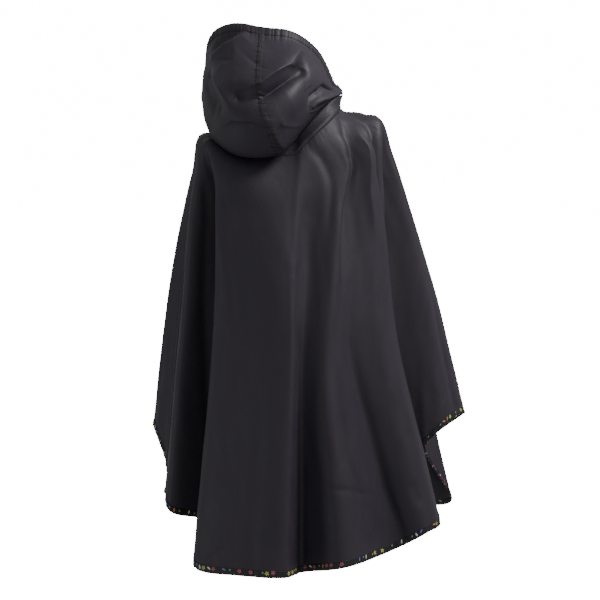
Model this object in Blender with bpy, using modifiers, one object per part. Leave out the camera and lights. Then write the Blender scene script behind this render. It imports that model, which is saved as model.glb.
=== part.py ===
"""Rain poncho with its hood up, filled out as it hangs on a wearer's shoulders.

Metres, +Z up. The origin is the base of the neck, where the shoulders carry the poncho.
+Y is the wearer's back and +X the wearer's left. An azimuth is measured round +Z from the
back, positive towards the wearer's right.

The cloth is two surfaces. The body hangs from the neckband over the shoulders to the hem,
and its folds run down it like ribs. The hood hangs from the edge round the face, over its
bag, to the neckband. Every piece is a stretch of one of them, given its thickness by
Solidify, and a strip that lies on a panel takes the panel's own points, moved out.
"""
from collections import namedtuple

import bpy
import numpy as np

# Driving sizes
CLOTH_WALL = 0.0015          # coated cloth with its turnings
STRIP_WALL = 0.0010          # a folded strip or binding
SEAM_GAP = 0.0006            # between two pieces that meet at a seam
LIFT = 0.0003                # between a panel and the strip that lies on it
SEAM_MARGIN = 0.003          # a row or column this close to a seam keeps the walls square there
SIDE_SEAM_WIDTH = 0.018
HEM_BINDING_WIDTH = 0.015
HOOD_SEAM_WIDTH = 0.012
HOOD_CASING_WIDTH = 0.020
NECKBAND_WIDTH = 0.030

NECK_HALF_WIDTH = 0.110
NECK_HALF_DEPTH = 0.104
SHOULDER_HALF_WIDTH = 0.197
SHOULDER_BACK = 0.134        # from the neck's axis to the back of the shoulders
SHOULDER_FRONT = 0.135
SHOULDER_SQUARENESS = 0.78   # 1 is an ellipse, less is squarer
SHOULDER_Z = -0.044
SHOULDER_TILT = 0.020        # the right shoulder is higher by twice this
BACK_DROP = 0.116            # of the shoulder ring at the middle of the back
FRONT_DROP = 0.060
SHOULDER_SLOPE = 1.5         # less carries the drop further round to the sides
YOKE_SHARE = 0.22            # how far the yoke's ring lies on the way to the waist
WAIST_Z = -0.440
WAIST_FOLLOW = 0.25          # how much the waist ring follows the hem's rise
MEAN_HEM_Z = -0.900

# Height of the neckline round the neck, and how far the band's top stands in from its bottom
Station = namedtuple("Station", "azimuth z lean")
NECKLINE = [
    Station(-180, -0.050, 0.020), Station(-135, -0.058, 0.020), Station(-90, -0.062, 0.020),
    Station(-45, -0.088, 0.020), Station(-12, -0.103, 0.020), Station(4, -0.077, 0.020),
    Station(18, -0.054, 0.020), Station(36, -0.031, 0.020), Station(60, -0.014, 0.009),
    Station(95, -0.010, -0.010), Station(140, -0.033, 0.010),
]

# The body's folds, a row for each ridge and valley, from the left side seam round the
# back to the right one, and then round the front. yoke_out is how far a fold already
# stands out, or in, at the yoke.
Fold = namedtuple("Fold", "name shoulder_az yoke_out waist_az waist_reach hem_az hem_reach hem_z")
FOLDS = [
    Fold("seam_left",         -92,  0.002, -104, 0.245, -101, 0.286, -0.822),
    Fold("left_ridge",        -82,  0.005,  -86, 0.240,  -80, 0.293, -0.896),
    Fold("left_valley",       -74, -0.022,  -86, 0.170,  -77, 0.200, -0.932),
    Fold("back_left_edge",    -60,  0.002,  -58, 0.221,  -52, 0.322, -0.974),
    Fold("back_left_mid",     -38,  0.000,  -40, 0.212,  -30, 0.328, -0.967),
    Fold("back_ridge",         -8,  0.004,  -12, 0.220,  -14, 0.328, -0.965),
    Fold("centre_valley",       4, -0.005,   -3, 0.196,   -6, 0.250, -0.985),
    Fold("right_mid_ridge",    18,  0.004,   10, 0.222,    8, 0.322, -0.954),
    Fold("right_mid_valley",   36, -0.006,   28, 0.212,   37, 0.292, -0.960),
    Fold("back_right_ridge",   52,  0.004,   44, 0.240,   46, 0.354, -0.919),
    Fold("back_right_edge",    66,  0.003,   56, 0.245,   57, 0.360, -0.914),
    Fold("right_valley",       78, -0.018,   68, 0.214,   70, 0.266, -0.840),
    Fold("right_lobe",         84,  0.004,   78, 0.304,   75, 0.350, -0.728),
    Fold("seam_right",         92,  0.000,   90, 0.326,   87, 0.414, -0.720),
    Fold("front_right_dip",   102, -0.010,   98, 0.290,   98, 0.345, -0.820),
    Fold("front_right_lobe",  112,  0.004,  108, 0.310,  107, 0.455, -0.998),
    Fold("front_valley_1",    126, -0.010,  124, 0.250,  124, 0.325, -0.985),
    Fold("front_ridge_1",     140,  0.003,  138, 0.270,  138, 0.390, -0.995),
    Fold("front_valley_2",    154, -0.005,  152, 0.235,  152, 0.320, -0.995),
    Fold("front_ridge_2",     167,  0.003,  166, 0.255,  166, 0.370, -0.985),
    Fold("front_valley_3",    181, -0.005,  180, 0.225,  180, 0.315, -0.985),
    Fold("front_ridge_3",     194,  0.003,  193, 0.255,  193, 0.372, -0.985),
    Fold("front_valley_4",    207, -0.005,  207, 0.232,  208, 0.315, -0.990),
    Fold("front_ridge_4",     221,  0.004,  221, 0.265,  222, 0.385, -0.975),
    Fold("front_valley_5",    235, -0.010,  234, 0.228,  234, 0.295, -0.930),
    Fold("left_front_tip",    250,  0.003,  248, 0.278,  245, 0.330, -0.752),
]
FOLD_NAMES = [fold.name for fold in FOLDS]
LEFT_SEAM = 0
RIGHT_SEAM = FOLD_NAMES.index("seam_right")
ROUND = len(FOLDS)

# The hood's ribs, from the left of the chin over the back to the right of it. Each starts
# on the edge round the face, passes its fullest place and a low place on the bag, and
# ends on the neckband at an azimuth.
Rib = namedtuple("Rib", "name rim full low neck_az")
HOOD_RIBS = [
    Rib("chin_left",       (0.010, -0.112, 0.024), (0.010, -0.112, 0.006), (0.008, -0.101, -0.011), -177),
    Rib("cheek_left",      (0.118, -0.122, 0.064), (0.132, -0.108, 0.012), (0.114, -0.085, -0.026), -128),
    Rib("side_left",       (0.168, -0.087, 0.112), (0.187, -0.034, 0.037), (0.183, -0.016, -0.023), -88),
    Rib("back_left",       (0.160, -0.039, 0.158), (0.185, 0.053, 0.017), (0.170, 0.052, -0.076), -60),
    Rib("back_left_mid",   (0.121, 0.015, 0.176), (0.148, 0.140, 0.010), (0.126, 0.106, -0.100), -38),
    Rib("centre",          (0.071, 0.046, 0.168), (0.097, 0.172, 0.015), (0.050, 0.134, -0.092), -18),
    Rib("back_right",      (0.007, 0.055, 0.159), (0.032, 0.162, 0.038), (0.007, 0.130, -0.040), 8),
    Rib("side_right_back", (-0.059, 0.023, 0.116), (-0.027, 0.108, 0.055), (-0.031, 0.109, 0.010), 38),
    Rib("side_right",      (-0.097, 0.011, 0.048), (-0.079, 0.052, 0.037), (-0.073, 0.075, 0.020), 66),
    Rib("cheek_right",     (-0.111, -0.024, 0.039), (-0.116, -0.015, 0.033), (-0.120, -0.007, 0.026), 92),
    Rib("jaw_right",       (-0.093, -0.088, 0.022), (-0.091, -0.082, 0.013), (-0.085, -0.073, 0.005), 135),
    Rib("chin_right",      (-0.016, -0.110, 0.020), (-0.013, -0.111, 0.004), (-0.010, -0.100, -0.012), 177),
]
HOOD_CENTRE = [rib.name for rib in HOOD_RIBS].index("centre")

# The hood's largest creases: a soft trough between two places, each given as a rib number
# and a share of the way from the rim to the neckband
Crease = namedtuple("Crease", "from_rib from_share to_rib to_share width depth")
HOOD_CREASES = [
    Crease(4.15, 0.455, 6.45, 0.335, 0.016, 0.013),
    Crease(3.0, 0.32, 3.5, 0.52, 0.013, 0.006),
]

# How finely the solids are divided: rows are shares of the way down a panel
BODY_COLUMNS_PER_FOLD = 4
HOOD_COLUMNS_PER_RIB = 5
NECKBAND_COLUMNS = 78
BODY_SHARES = np.array([0, 0.035, 0.07, 0.10, 0.13, 0.17, 0.23, 0.31, 0.41, 0.51, 0.61,
                        0.71, 0.81, 0.91, 1])
HOOD_SHARES = np.array([0, 0.09, 0.19, 0.30, 0.41, 0.52, 0.63, 0.72, 0.80, 0.88, 0.95, 1])

# Short steps that slopes are measured over, in folds and in metres, and the search for
# the column beside a seam: its first step, in folds, and how often it is refined
STEP_U = 0.02
STEP_DROP = 0.001
FIRST_SHIFT = 0.05
SHIFT_TRIES = 3

# Linear colour and roughness of each kind of cloth
BLACK_CLOTH = {"color": (0.0176, 0.0168, 0.0185), "roughness": 0.42}
BLACK_STRIP = {"color": (0.0150, 0.0144, 0.0160), "roughness": 0.48}
PRINTED_BINDING = {"color": (0.130, 0.110, 0.085), "roughness": 0.55}


# ---- smooth curves ----

def hermite(points, knots, where):
    """Places on smooth curves through points (k, n, 3) at knots (k, n), one for each of
    where (n). A point's slope is that of the parabola through it and its neighbours, and an
    end's is that of its chord."""
    step = np.diff(knots, axis=0)[..., None]
    chord = np.diff(points, axis=0) / step
    slope = np.empty_like(points)
    slope[1:-1] = (chord[:-1] * step[1:] + chord[1:] * step[:-1]) / (step[:-1] + step[1:])
    slope[0], slope[-1] = chord[0], chord[-1]
    span = (knots[1:-1] <= where).sum(axis=0)
    curve = np.arange(len(where))
    size = step[span, curve]
    s = ((where - knots[span, curve]) / size[:, 0])[:, None]
    start, end = points[span, curve], points[span + 1, curve]
    leave, arrive = slope[span, curve] * size, slope[span + 1, curve] * size
    return ((2 * s**3 - 3 * s**2 + 1) * start + (s**3 - 2 * s**2 + s) * leave
            + (3 * s**2 - 2 * s**3) * end + (s**3 - s**2) * arrive)


def curve_through(points, u, closed):
    """Places at u (n), counted in points, on the smooth curve through a row of points."""
    count = len(points)
    overlap = 3 if closed else 0
    order = np.arange(-overlap, count + overlap)
    run = points[order % count]
    steps = np.sqrt(np.linalg.norm(np.diff(run, axis=0), axis=1))
    knots = np.concatenate([[0], np.cumsum(steps)])
    where = np.interp(u % count if closed else u, order, knots)
    spread = np.broadcast_to(run[:, None], (len(run), len(u), 3))
    return hermite(spread.copy(), np.broadcast_to(knots[:, None], spread.shape[:2]), where)


# ---- the rings that the body passes through ----

def on_azimuth(azimuth, half_width, half_depth):
    """X and Y at an azimuth on an ellipse round the neck's axis."""
    turn = np.radians(azimuth)
    return -half_width * np.sin(turn), half_depth * np.cos(turn)


def neck_stations(azimuth):
    """Height and lean of the neckband at each azimuth, smooth through the stations."""
    laps = [(np.radians(station.azimuth + 360 * lap), station.lean, station.z)
            for lap in (-1, 0, 1, 2) for station in NECKLINE]
    places = np.array(laps)
    u = np.interp(np.radians(azimuth), places[:, 0], np.arange(len(places)))
    smooth = curve_through(places, u, closed=False)
    return smooth[:, 2], smooth[:, 1]


def neck_ring(azimuth, rise):
    """Points of the neckline, or of a ring at a share `rise` of the way up the neckband."""
    height, lean = neck_stations(azimuth)
    up = rise * np.sqrt(NECKBAND_WIDTH**2 - lean**2)
    x, y = on_azimuth(azimuth, NECK_HALF_WIDTH - rise * lean, NECK_HALF_DEPTH - rise * lean)
    return np.stack([x, y, height + up], axis=-1)


def shoulder_ring(azimuth):
    """Points where the cloth turns down from the shoulders: a squarish ring, lower at the
    back and the front than on the shoulders themselves."""
    turn = np.radians(azimuth)
    side, back = np.sin(turn), np.cos(turn)
    x = -SHOULDER_HALF_WIDTH * np.sign(side) * np.abs(side) ** SHOULDER_SQUARENESS
    reach = np.where(back > 0, SHOULDER_BACK, SHOULDER_FRONT)
    y = reach * np.sign(back) * np.abs(back) ** SHOULDER_SQUARENESS
    drop = np.where(back > 0, BACK_DROP, FRONT_DROP) * np.abs(back) ** SHOULDER_SLOPE
    return np.stack([x, y, SHOULDER_Z - drop + SHOULDER_TILT * side], axis=-1)


def reach_ring(azimuth, reach, z):
    """Points at a distance from the neck's axis."""
    x, y = on_azimuth(azimuth, reach, reach)
    return np.stack([x, y, z], axis=-1)


def body_rings():
    """The body's rings from the neckband's top to the hem, a point for each fold."""
    column = {name: np.array([getattr(fold, name) for fold in FOLDS], dtype=float)
              for name in Fold._fields[1:]}
    shoulder = shoulder_ring(column["shoulder_az"])
    waist_z = WAIST_Z + WAIST_FOLLOW * (column["hem_z"] - MEAN_HEM_Z)
    waist = reach_ring(column["waist_az"], column["waist_reach"], waist_z)
    yoke = shoulder + YOKE_SHARE * (waist - shoulder)
    away = yoke[:, :2] / np.linalg.norm(yoke[:, :2], axis=1, keepdims=True)
    yoke[:, :2] += column["yoke_out"][:, None] * away
    hem = reach_ring(column["hem_az"], column["hem_reach"], column["hem_z"])
    return [neck_ring(column["shoulder_az"], 1), neck_ring(column["shoulder_az"], 0),
            shoulder, yoke, waist, hem]


# ---- the two surfaces ----

class Body:
    """The body's cloth: u counts folds round it, drop is metres down from the neckline."""
    columns_per_fold = BODY_COLUMNS_PER_FOLD
    rows = len(BODY_SHARES) + 2

    def __init__(self):
        self.rings = body_rings()

    def columns(self, u):
        """The rings' points at u, and how far down each column they lie."""
        points = np.stack([curve_through(ring, u, closed=True) for ring in self.rings])
        steps = np.linalg.norm(np.diff(points, axis=0), axis=2)
        drops = np.concatenate([np.zeros((1, len(u))), np.cumsum(steps, axis=0)])
        return points, drops - drops[1]

    def at(self, u, drop):
        """Points at u and drop, two grids of one shape."""
        points, drops = self.columns(u.ravel())
        return hermite(points, drops, drop.ravel()).reshape(u.shape + (3,))

    def fold_at(self, azimuth):
        """The u of the column that leaves the neck at each azimuth."""
        turns = [fold.shoulder_az for fold in FOLDS]
        turns.append(turns[0] + 360)
        return np.interp((azimuth - turns[0]) % 360 + turns[0], turns, np.arange(ROUND + 1))

    def drops(self, u):
        """Drop of every row at the grid u: the neckline, its margin, shares of the way from
        there to the binding, and the hem."""
        length = self.columns(u.ravel())[1][-1].reshape(u.shape)
        above = length[1:-1] - HEM_BINDING_WIDTH - SEAM_MARGIN
        return np.concatenate([0 * length[:1] + SEAM_GAP / 2,
                               SEAM_MARGIN + BODY_SHARES[:, None] * above, length[-1:]])

    def normal(self, u, drop):
        """Outward normals, from short steps along the cloth both ways."""
        across = self.at(u + STEP_U, drop) - self.at(u - STEP_U, drop)
        down = self.at(u, drop + STEP_DROP) - self.at(u, drop - STEP_DROP)
        out = np.cross(down, across)
        return out / np.linalg.norm(out, axis=-1, keepdims=True)

    def beside(self, u, drop, distance):
        """The u that lies a signed distance across the cloth from u."""
        shift = np.full(u.shape, FIRST_SHIFT * np.sign(distance))
        for _ in range(SHIFT_TRIES):
            reached = np.linalg.norm(self.at(u + shift, drop) - self.at(u, drop), axis=-1)
            shift = shift * abs(distance) / reached
        return u + shift


class Hood(Body):
    """The hood's cloth: u counts ribs round it, drop is metres down from the rim."""
    columns_per_fold = HOOD_COLUMNS_PER_RIB
    rows = len(HOOD_SHARES) + 1

    def __init__(self, body):
        self.body = body
        self.rings = [np.array([getattr(rib, place) for rib in HOOD_RIBS])
                      for place in ("rim", "full", "low")]
        self.inside = self.rings[1].mean(axis=0)

    def columns(self, u):
        """The rings' points at u, the last of them just clear of the neckband's top."""
        points = [curve_through(ring, u, closed=False) for ring in self.rings]
        azimuth = np.interp(u, np.arange(len(HOOD_RIBS)), [rib.neck_az for rib in HOOD_RIBS])
        foot_u = self.body.fold_at(azimuth)
        points.append(self.body.at(foot_u, np.full(u.shape, -NECKBAND_WIDTH - SEAM_GAP)))
        points = np.stack(points)
        steps = np.linalg.norm(np.diff(points, axis=0), axis=2)
        return points, np.concatenate([np.zeros((1, len(u))), np.cumsum(steps, axis=0)])

    def drops(self, u):
        """Drop of every row at the grid u: the rim, then shares of the way from the
        casing's lower edge to the neckband."""
        length = self.columns(u.ravel())[1][-1].reshape(u.shape)
        below = length[1:] - HOOD_CASING_WIDTH
        return np.concatenate([0 * length[:1], HOOD_CASING_WIDTH + HOOD_SHARES[:, None] * below])

    def at(self, u, drop):
        """Points at u and drop, with the largest creases pressed in."""
        smooth = super().at(u, drop)
        inward = self.inside - smooth
        inward /= np.linalg.norm(inward, axis=-1, keepdims=True)
        depth = np.zeros(u.shape)
        for crease in HOOD_CREASES:
            ends_u = np.array([crease.from_rib, crease.to_rib])
            ends_drop = np.array([crease.from_share, crease.to_share]) * self.columns(ends_u)[1][-1]
            start, end = super().at(ends_u, ends_drop)
            along = end - start
            share = np.clip((smooth - start) @ along / (along @ along), 0, 1)
            off = np.linalg.norm(smooth - start - share[..., None] * along, axis=-1)
            depth += crease.depth * np.exp(-(off / crease.width) ** 2)
        return smooth + inward * depth[..., None]


# ---- the columns of each piece ----

def fold_columns(cloth, first, last):
    """u of evenly shared columns from one fold to another, for every row."""
    count = (last - first) * cloth.columns_per_fold + 1
    return np.tile(np.linspace(first, last, count), (cloth.rows, 1))


def at_seam(cloth, seam, distance):
    """u of the column that runs at a distance from a seam."""
    on_seam = np.full((cloth.rows, 1), float(seam))
    return cloth.beside(on_seam, cloth.drops(on_seam), distance)


def seam_columns(cloth, seam, side, strip_width):
    """u of the columns from a seam to the next fold on one side: the panel's edge, the
    margin, the edge of the strip that covers the seam, and then even ones to the fold."""
    panel_edge = at_seam(cloth, seam, side * SEAM_GAP / 2)
    margin = at_seam(cloth, seam, side * SEAM_MARGIN)
    strip_edge = at_seam(cloth, seam, side * strip_width / 2)
    share = np.linspace(0, 1, cloth.columns_per_fold)
    columns = np.hstack([panel_edge, margin, strip_edge + share * (seam + side - strip_edge)])
    return columns if side > 0 else columns[:, ::-1]


def strip_columns(cloth, seam, strip_width):
    """u of the columns of the strip that covers a seam."""
    half = [SEAM_GAP / 2, SEAM_MARGIN, strip_width / 2]
    left = [at_seam(cloth, seam, -distance) for distance in half[::-1]]
    right = [at_seam(cloth, seam, distance) for distance in half]
    return np.hstack(left + right)


# ---- building pieces ----

def cloth_material(name, finish):
    """Principled material of one piece."""
    material = bpy.data.materials.new(name)
    material.use_nodes = True
    shader = material.node_tree.nodes["Principled BSDF"]
    shader.inputs["Base Color"].default_value = (*finish["color"], 1)
    shader.inputs["Roughness"].default_value = finish["roughness"]
    shader.inputs["Metallic"].default_value = 0
    return material


def add_piece(name, grid, finish, wall, outward=False, closed=False):
    """One cloth piece: a grid of points (rows down, columns, 3) thickened by Solidify,
    inwards for a panel and outwards for a strip. A closed grid's last column meets its
    first."""
    rows, columns = grid.shape[:2]
    faces = []
    for row in range(rows - 1):
        for column in range(columns if closed else columns - 1):
            left = row * columns + column
            right = row * columns + (column + 1) % columns
            faces += [(left, right + columns, right), (left, left + columns, right + columns)]
    mesh = bpy.data.meshes.new(name)
    mesh.from_pydata(grid.reshape(-1, 3).tolist(), [], faces)
    mesh.shade_smooth()
    mesh.materials.append(cloth_material(name, finish))
    piece = bpy.data.objects.new(name, mesh)
    piece.parent = bpy.data.objects["shoulders"]
    bpy.data.collections["rain_poncho"].objects.link(piece)
    thickness = piece.modifiers.new("wall", "SOLIDIFY")
    thickness.thickness = wall
    thickness.offset = 1 if outward else -1


def lay_strip(name, cloth, u, drop, finish):
    """A strip on top of the cloth, from the cloth's own points moved out."""
    add_piece(name, cloth.at(u, drop) + LIFT * cloth.normal(u, drop), finish, STRIP_WALL,
              outward=True)


def build_body(body):
    """The two panels, the bands over their side seams, and the binding along the hem."""
    sides = {"back": (LEFT_SEAM, RIGHT_SEAM), "front": (RIGHT_SEAM, ROUND)}
    for side, (first, last) in sides.items():
        u = np.hstack([seam_columns(body, first, 1, SIDE_SEAM_WIDTH),
                       fold_columns(body, first + 1, last - 1)[:, 1:-1],
                       seam_columns(body, last, -1, SIDE_SEAM_WIDTH)])
        drop = body.drops(u)
        add_piece(side + "_panel", body.at(u, drop), BLACK_CLOTH, CLOTH_WALL)
        lay_strip("hem_binding_" + side, body, u[-2:], drop[-2:], PRINTED_BINDING)
    for side, seam in (("left", LEFT_SEAM), ("right", RIGHT_SEAM)):
        u = strip_columns(body, seam, SIDE_SEAM_WIDTH)[:-1]
        drop = body.drops(strip_columns(body, seam, SIDE_SEAM_WIDTH))[:-1]
        drop[-1] -= SEAM_GAP
        lay_strip("side_seam_" + side, body, u, drop, BLACK_STRIP)


def build_neckband(body):
    """The band that stands between the body and the hood."""
    around = np.arange(NECKBAND_COLUMNS) * ROUND / NECKBAND_COLUMNS
    down = [SEAM_GAP / 2 - NECKBAND_WIDTH, -NECKBAND_WIDTH / 2, -SEAM_MARGIN, -SEAM_GAP / 2]
    drop, u = np.meshgrid(down, around, indexing="ij")
    add_piece("neckband", body.at(u, drop), BLACK_STRIP, CLOTH_WALL, closed=True)


def build_hood(hood):
    """The hood's two halves, the band over their seam, and the casing round the face."""
    last = len(HOOD_RIBS) - 1
    left = np.hstack([fold_columns(hood, 0, HOOD_CENTRE - 1)[:, :-1],
                      seam_columns(hood, HOOD_CENTRE, -1, HOOD_SEAM_WIDTH)])
    right = np.hstack([seam_columns(hood, HOOD_CENTRE, 1, HOOD_SEAM_WIDTH),
                       fold_columns(hood, HOOD_CENTRE + 1, last)[:, 1:]])
    add_piece("hood_left", hood.at(left, hood.drops(left)), BLACK_CLOTH, CLOTH_WALL)
    add_piece("hood_right", hood.at(right, hood.drops(right)), BLACK_CLOTH, CLOTH_WALL)
    both = np.hstack([left, right])
    lay_strip("hood_casing", hood, both[:2], hood.drops(both)[:2], BLACK_STRIP)
    u = strip_columns(hood, HOOD_CENTRE, HOOD_SEAM_WIDTH)
    drop = hood.drops(u)[1:]
    drop[0] += SEAM_GAP
    drop[-1] -= SEAM_MARGIN
    lay_strip("hood_seam", hood, u[1:], drop, BLACK_STRIP)


def main():
    for item in list(bpy.data.objects):
        bpy.data.objects.remove(item, do_unlink=True)
    collection = bpy.data.collections.new("rain_poncho")
    bpy.context.scene.collection.children.link(collection)
    shoulders = bpy.data.objects.new("shoulders", None)
    collection.objects.link(shoulders)
    body = Body()
    build_body(body)
    build_neckband(body)
    build_hood(Hood(body))


main()
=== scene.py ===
# A black rain poncho, filled out as it is worn, with its hood up.
# Metres, +Z up. The origin is the base of the neck, +Y the wearer's back, +X the wearer's left.
# An azimuth is measured round +Z from the back, positive towards the wearer's right.

from collections import namedtuple

import bpy
import numpy as np
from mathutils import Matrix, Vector


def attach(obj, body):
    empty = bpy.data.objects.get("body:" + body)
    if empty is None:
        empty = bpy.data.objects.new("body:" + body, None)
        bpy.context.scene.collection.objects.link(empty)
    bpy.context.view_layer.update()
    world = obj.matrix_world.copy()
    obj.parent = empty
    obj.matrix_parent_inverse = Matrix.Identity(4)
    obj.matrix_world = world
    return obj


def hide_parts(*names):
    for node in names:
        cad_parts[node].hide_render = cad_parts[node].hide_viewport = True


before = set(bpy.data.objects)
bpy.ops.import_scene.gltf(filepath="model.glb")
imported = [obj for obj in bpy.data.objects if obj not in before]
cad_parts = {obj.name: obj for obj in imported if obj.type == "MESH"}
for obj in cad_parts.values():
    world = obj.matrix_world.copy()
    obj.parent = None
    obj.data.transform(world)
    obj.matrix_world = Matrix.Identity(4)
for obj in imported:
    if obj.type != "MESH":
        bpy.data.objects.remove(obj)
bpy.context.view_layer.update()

print("frame loaded:", len(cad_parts), "solids")


# The form, as the solids have it

cut = {
    "bindingWidth": 0.015,
    "sideSeamWidth": 0.018,
    "hoodSeamWidth": 0.012,
    "casingWidth": 0.020,
    "neckbandWidth": 0.030,
    "seamGap": 0.0006,      # between two panels at a seam
}

form = {
    "neckHalfWidth": 0.110, "neckHalfDepth": 0.104,
    "shoulderHalfWidth": 0.197, "shoulderBack": 0.134, "shoulderFront": 0.135,
    "shoulderSquareness": 0.78, "shoulderZ": -0.044, "shoulderTilt": 0.020,
    "backDrop": 0.116, "frontDrop": 0.060, "shoulderSlope": 1.5,
    "yokeShare": 0.22, "waistZ": -0.440, "waistFollow": 0.25, "meanHemZ": -0.900,
}

# Height of the neckline round the neck, and how far the neckband's top stands in from its bottom
Station = namedtuple("Station", "azimuth z lean")
neckline = [Station(*row) for row in [
    (-180, -0.050, 0.020), (-135, -0.058, 0.020), (-90, -0.062, 0.020),
    (-45, -0.088, 0.020), (-12, -0.103, 0.020), (4, -0.077, 0.020),
    (18, -0.054, 0.020), (36, -0.031, 0.020), (60, -0.014, 0.009),
    (95, -0.010, -0.010), (140, -0.033, 0.010),
]]

# The body's ridges and valleys, from the left side seam round the back to the right one and on
# round the front
Fold = namedtuple("Fold", "name shoulderAz yokeOut waistAz waistReach hemAz hemReach hemZ")
folds = [Fold(*row) for row in [
    ("seamLeft",        -92,  0.002, -104, 0.245, -101, 0.286, -0.822),
    ("leftRidge",       -82,  0.005,  -86, 0.240,  -80, 0.293, -0.896),
    ("leftValley",      -74, -0.022,  -86, 0.170,  -77, 0.200, -0.932),
    ("backLeftEdge",    -60,  0.002,  -58, 0.221,  -52, 0.322, -0.974),
    ("backLeftMid",     -38,  0.000,  -40, 0.212,  -30, 0.328, -0.967),
    ("backRidge",        -8,  0.004,  -12, 0.220,  -14, 0.328, -0.965),
    ("centreValley",      4, -0.005,   -3, 0.196,   -6, 0.250, -0.985),
    ("rightMidRidge",    18,  0.004,   10, 0.222,    8, 0.322, -0.954),
    ("rightMidValley",   36, -0.006,   28, 0.212,   37, 0.292, -0.960),
    ("backRightRidge",   52,  0.004,   44, 0.240,   46, 0.354, -0.919),
    ("backRightEdge",    66,  0.003,   56, 0.245,   57, 0.360, -0.914),
    ("rightValley",      78, -0.018,   68, 0.214,   70, 0.266, -0.840),
    ("rightLobe",        84,  0.004,   78, 0.304,   75, 0.350, -0.728),
    ("seamRight",        92,  0.000,   90, 0.326,   87, 0.414, -0.720),
    ("frontRightDip",   102, -0.010,   98, 0.290,   98, 0.345, -0.820),
    ("frontRightLobe",  112,  0.004,  108, 0.310,  107, 0.455, -0.998),
    ("frontValley1",    126, -0.010,  124, 0.250,  124, 0.325, -0.985),
    ("frontRidge1",     140,  0.003,  138, 0.270,  138, 0.390, -0.995),
    ("frontValley2",    154, -0.005,  152, 0.235,  152, 0.320, -0.995),
    ("frontRidge2",     167,  0.003,  166, 0.255,  166, 0.370, -0.985),
    ("frontValley3",    181, -0.005,  180, 0.225,  180, 0.315, -0.985),
    ("frontRidge3",     194,  0.003,  193, 0.255,  193, 0.372, -0.985),
    ("frontValley4",    207, -0.005,  207, 0.232,  208, 0.315, -0.990),
    ("frontRidge4",     221,  0.004,  221, 0.265,  222, 0.385, -0.975),
    ("frontValley5",    235, -0.010,  234, 0.228,  234, 0.295, -0.930),
    ("leftFrontTip",    250,  0.003,  248, 0.278,  245, 0.330, -0.752),
]]
leftSeam, rightSeam, roundBody = 0, 13, len(folds)

# The hood's ribs, from the left of the chin over the back to the right of it
Rib = namedtuple("Rib", "name rim full low neckAz")
hoodRibs = [Rib(*row) for row in [
    ("chinLeft",      (0.010, -0.112, 0.024), (0.010, -0.112, 0.006), (0.008, -0.101, -0.011), -177),
    ("cheekLeft",     (0.118, -0.122, 0.064), (0.132, -0.108, 0.012), (0.114, -0.085, -0.026), -128),
    ("sideLeft",      (0.168, -0.087, 0.112), (0.187, -0.034, 0.037), (0.183, -0.016, -0.023), -88),
    ("backLeft",      (0.160, -0.039, 0.158), (0.185, 0.053, 0.017), (0.170, 0.052, -0.076), -60),
    ("backLeftMid",   (0.121, 0.015, 0.176), (0.148, 0.140, 0.010), (0.126, 0.106, -0.100), -38),
    ("centre",        (0.071, 0.046, 0.168), (0.097, 0.172, 0.015), (0.050, 0.134, -0.092), -18),
    ("backRight",     (0.007, 0.055, 0.159), (0.032, 0.162, 0.038), (0.007, 0.130, -0.040), 8),
    ("sideRightBack", (-0.059, 0.023, 0.116), (-0.027, 0.108, 0.055), (-0.031, 0.109, 0.010), 38),
    ("sideRight",     (-0.097, 0.011, 0.048), (-0.079, 0.052, 0.037), (-0.073, 0.075, 0.020), 66),
    ("cheekRight",    (-0.111, -0.024, 0.039), (-0.116, -0.015, 0.033), (-0.120, -0.007, 0.026), 92),
    ("jawRight",      (-0.093, -0.088, 0.022), (-0.091, -0.082, 0.013), (-0.085, -0.073, 0.005), 135),
    ("chinRight",     (-0.016, -0.110, 0.020), (-0.013, -0.111, 0.004), (-0.010, -0.100, -0.012), 177),
]]
hoodCentre, lastRib = 5, len(hoodRibs) - 1

Crease = namedtuple("Crease", "fromRib fromShare toRib toShare width depth")
hoodCreases = [
    Crease(4.15, 0.455, 6.45, 0.335, 0.016, 0.013),
    Crease(3.0, 0.32, 3.5, 0.52, 0.013, 0.006),
]


# Smooth curves

def hermite(points, knots, where):
    # Cubic pieces through points (k, n, 3) at knots (k, n), read at where (n); a slope is that of
    # the parabola through three neighbours. One curve (n = 1) may be read at many places.
    step = np.diff(knots, axis=0)[..., None]
    chord = np.diff(points, axis=0) / step
    slope = np.empty_like(points)
    slope[1:-1] = (chord[:-1] * step[1:] + chord[1:] * step[:-1]) / (step[:-1] + step[1:])
    slope[0], slope[-1] = chord[0], chord[-1]
    span = (knots[1:-1] <= where).sum(axis=0)
    curve = np.arange(len(where)) % points.shape[1]
    size = step[span, curve]
    s = ((where - knots[span, curve]) / size[:, 0])[:, None]
    start, end = points[span, curve], points[span + 1, curve]
    leave, arrive = slope[span, curve] * size, slope[span + 1, curve] * size
    return ((2 * s**3 - 3 * s**2 + 1) * start + (s**3 - 2 * s**2 + s) * leave
            + (3 * s**2 - 2 * s**3) * end + (s**3 - s**2) * arrive)


def curveThrough(points, u, closed):
    # The smooth curve through a row of points, read at u, which counts the points
    overlap = 3 if closed else 0
    order = np.arange(-overlap, len(points) + overlap)
    run = points[order % len(points)]
    knots = np.concatenate([[0], np.cumsum(np.sqrt(np.linalg.norm(np.diff(run, axis=0), axis=1)))])
    where = np.interp(u % len(points) if closed else u, order, knots)
    return hermite(run[:, None], knots[:, None], where)


def runLength(points):
    # Metres along a row of points, from the first of them to each
    return np.concatenate([[0], np.cumsum(np.linalg.norm(np.diff(points, axis=0), axis=1))])


# The rings that the body passes through

def onAzimuth(azimuth, halfWidth, halfDepth):
    # x and y on an ellipse, its sine across and its cosine towards the back
    turn = np.radians(azimuth)
    return -halfWidth * np.sin(turn), halfDepth * np.cos(turn)


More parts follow.
